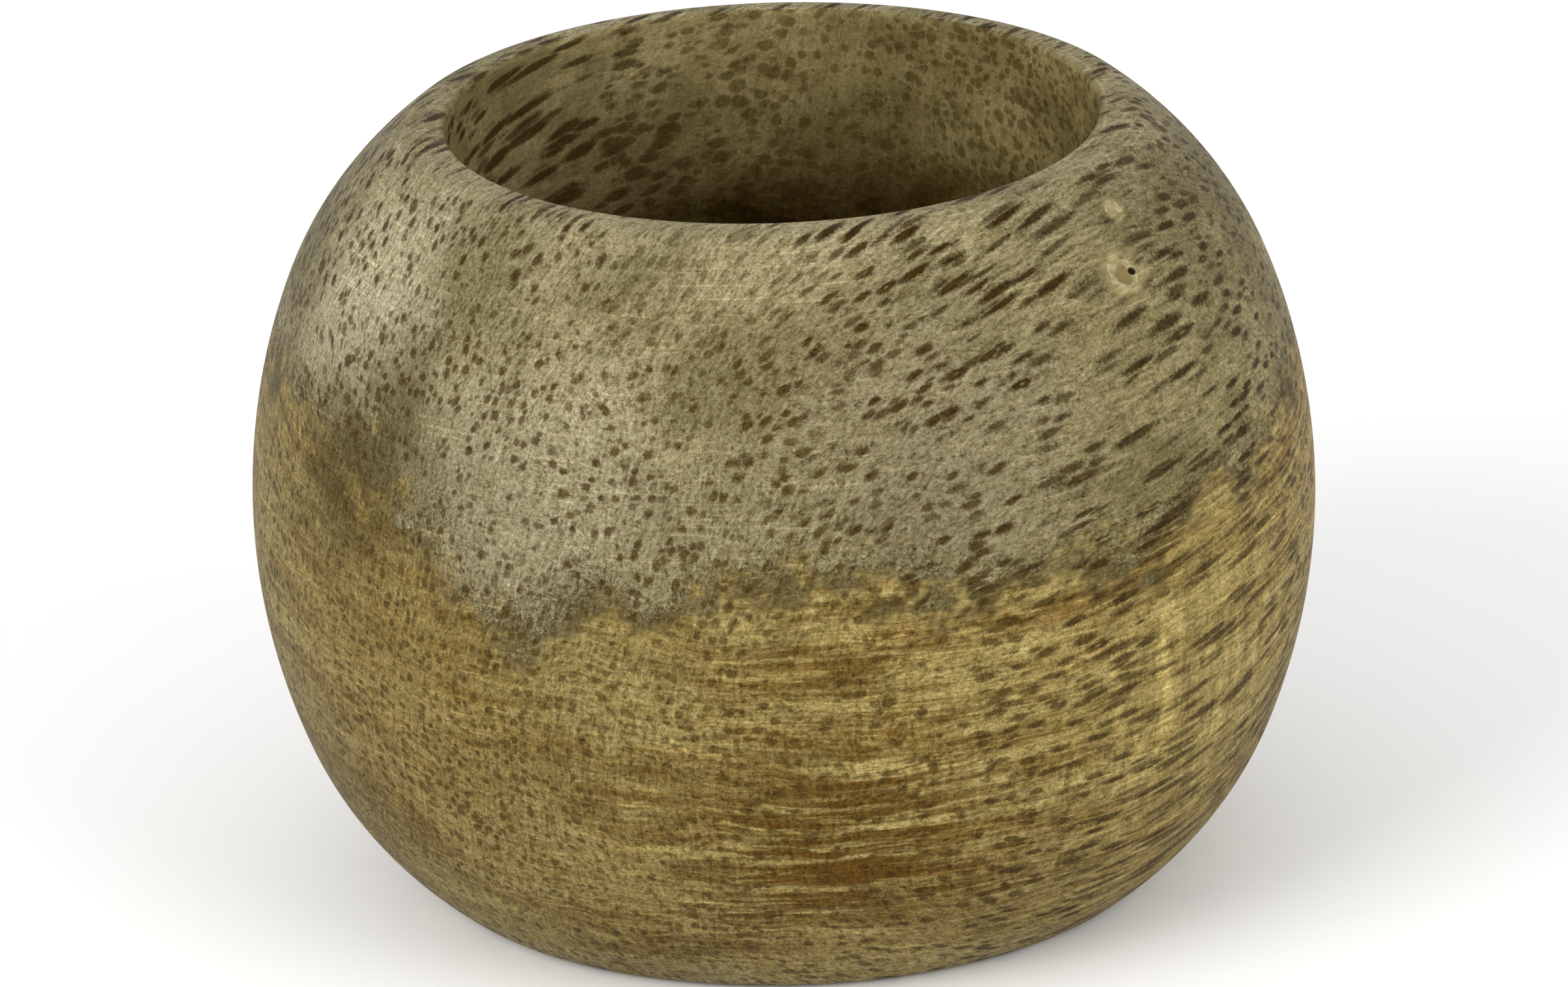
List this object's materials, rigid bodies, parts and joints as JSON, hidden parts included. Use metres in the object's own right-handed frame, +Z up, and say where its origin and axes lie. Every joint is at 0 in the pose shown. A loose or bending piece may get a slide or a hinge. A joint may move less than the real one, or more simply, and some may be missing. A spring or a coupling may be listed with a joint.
{
  "type": "napkin ring",
  "caption": "Turned wooden ring with rounded belly and shoulders and a wide straight bore that holds a rolled napkin.",
  "frame": {"origin": "centre of the foot face, on the bore's axis", "axes": "+Z up along the bore's axis, -Y towards the front; the stopped pinholes are in the shoulder between +X and -Y"},
  "size_m": [0.05, 0.05, 0.037],
  "materials": {
    "wood": "fine-sanded, dry, with a very slight sheen",
    "filler": "matte wood filler, sanded flush"
  },
  "bodies": {
    "root": {"ring_body": "wood", "wide_filler_plug": "filler", "narrow_filler_plug": "filler"}
  },
  "joints": []
}
